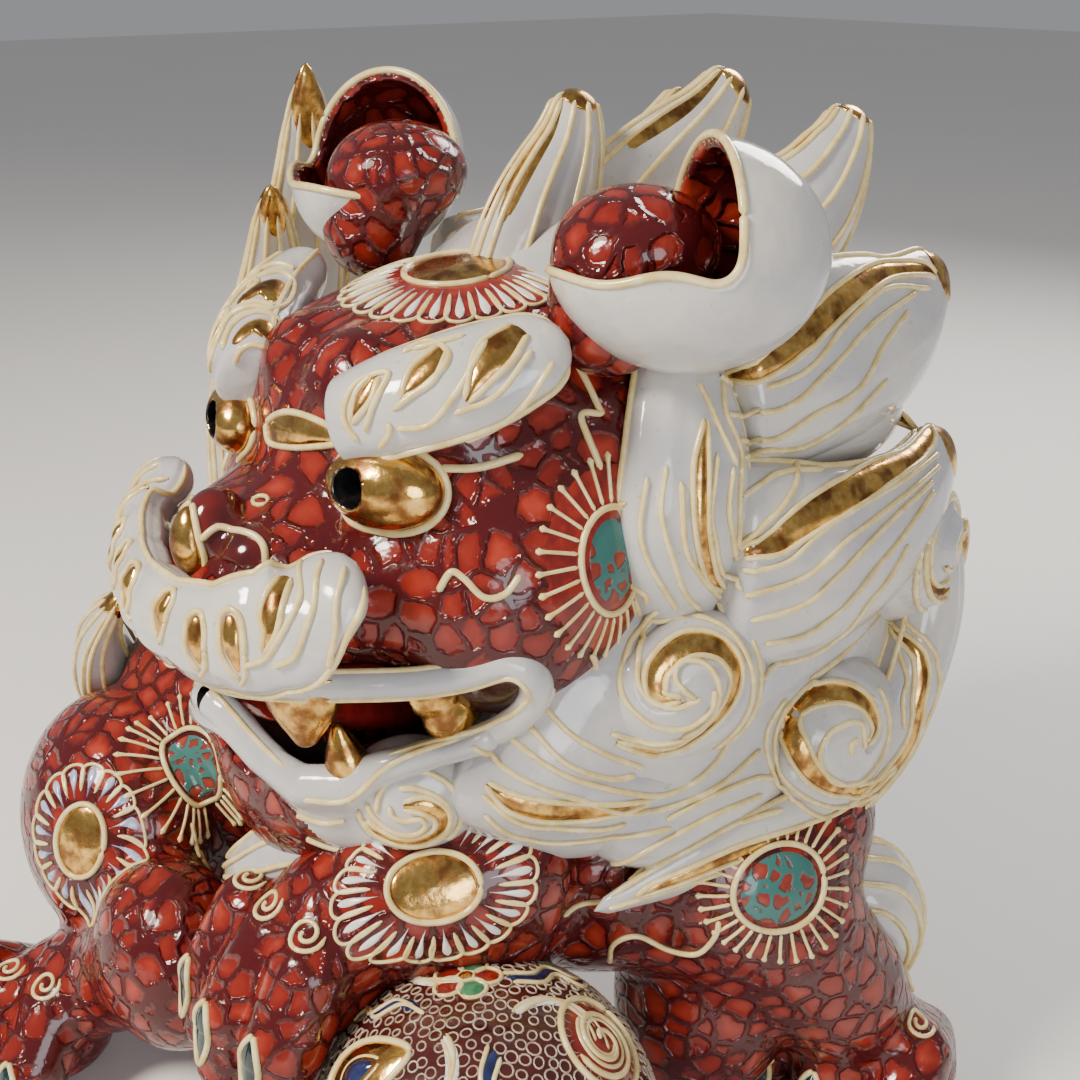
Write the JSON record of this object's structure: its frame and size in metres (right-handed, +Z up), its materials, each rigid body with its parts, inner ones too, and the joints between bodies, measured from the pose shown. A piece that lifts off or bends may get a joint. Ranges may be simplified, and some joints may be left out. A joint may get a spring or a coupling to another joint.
{
  "type": "foo dog statue",
  "caption": "Crouching porcelain guardian lion with a flaming mane, open mouth and one forepaw on a ball, in red, white and gilt enamels.",
  "frame": {"origin": "under the middle of the bounding box, at the height of the soles", "axes": "+Z up, +X from the rump to the chest, and the face looks along -Y"},
  "size_m": [0.2176, 0.2013, 0.2315],
  "materials": {
    "red_enamel": "glossy red enamel in raised cells over glazed porcelain",
    "white_glaze": "glossy white glazed porcelain with raised cream lines and gilt strokes",
    "gilding": "porcelain under burnished gilding",
    "ball_enamel": "glossy enamels in many colours, with raised outlines and dots"
  },
  "bodies": {
    "root": {"back_curl_left": "white_glaze", "back_curl_right": "white_glaze", "ball": "ball_enamel", "beard_tuft_left": "white_glaze", "beard_tuft_right": "white_glaze", "brow_left": "white_glaze", "brow_right": "white_glaze", "cheek_curl_left": "white_glaze", "cheek_curl_right": "white_glaze", "cheek_tooth_left": "gilding", "cheek_tooth_right": "gilding", "crest_flame_back": "white_glaze", "crest_flame_front": "white_glaze", "ear_left": "white_glaze", "ear_lobe_left": "red_enamel", "ear_lobe_right": "red_enamel", "ear_right": "white_glaze", "elbow_tuft_left": "white_glaze", "elbow_tuft_right": "white_glaze", "eye_left": "gilding", "eye_right": "gilding", "front_leg_left": "red_enamel", "front_leg_right": "red_enamel", "head_shell": "red_enamel", "hind_leg_left": "red_enamel", "hind_leg_right": "red_enamel", "jaw_tuft_left": "white_glaze", "jaw_tuft_right": "white_glaze", "lower_fang_left": "gilding", "lower_fang_right": "gilding", "lower_jaw": "white_glaze", "mane_cap": "white_glaze", "mane_flame_middle_left": "white_glaze", "mane_flame_middle_right": "white_glaze", "mane_flame_top_left": "white_glaze", "mane_flame_top_right": "white_glaze", "mane_flame_upper_left": "white_glaze", "mane_flame_upper_right": "white_glaze", "moustache": "white_glaze", "nose": "red_enamel", "paw_front_left": "red_enamel", "paw_front_right": "red_enamel", "paw_hind_left": "red_enamel", "paw_hind_right": "red_enamel", "spine_lock_1": "white_glaze", "spine_lock_2": "white_glaze", "spine_lock_3": "white_glaze", "tail_plume_left": "white_glaze", "tail_plume_middle": "white_glaze", "tail_plume_right": "white_glaze", "temple_lock_left": "white_glaze", "temple_lock_right": "white_glaze", "thigh_tuft_left": "white_glaze", "thigh_tuft_right": "white_glaze", "tongue": "red_enamel", "trunk_shell": "red_enamel", "upper_fang_left": "gilding", "upper_fang_right": "gilding"}
  },
  "joints": []
}
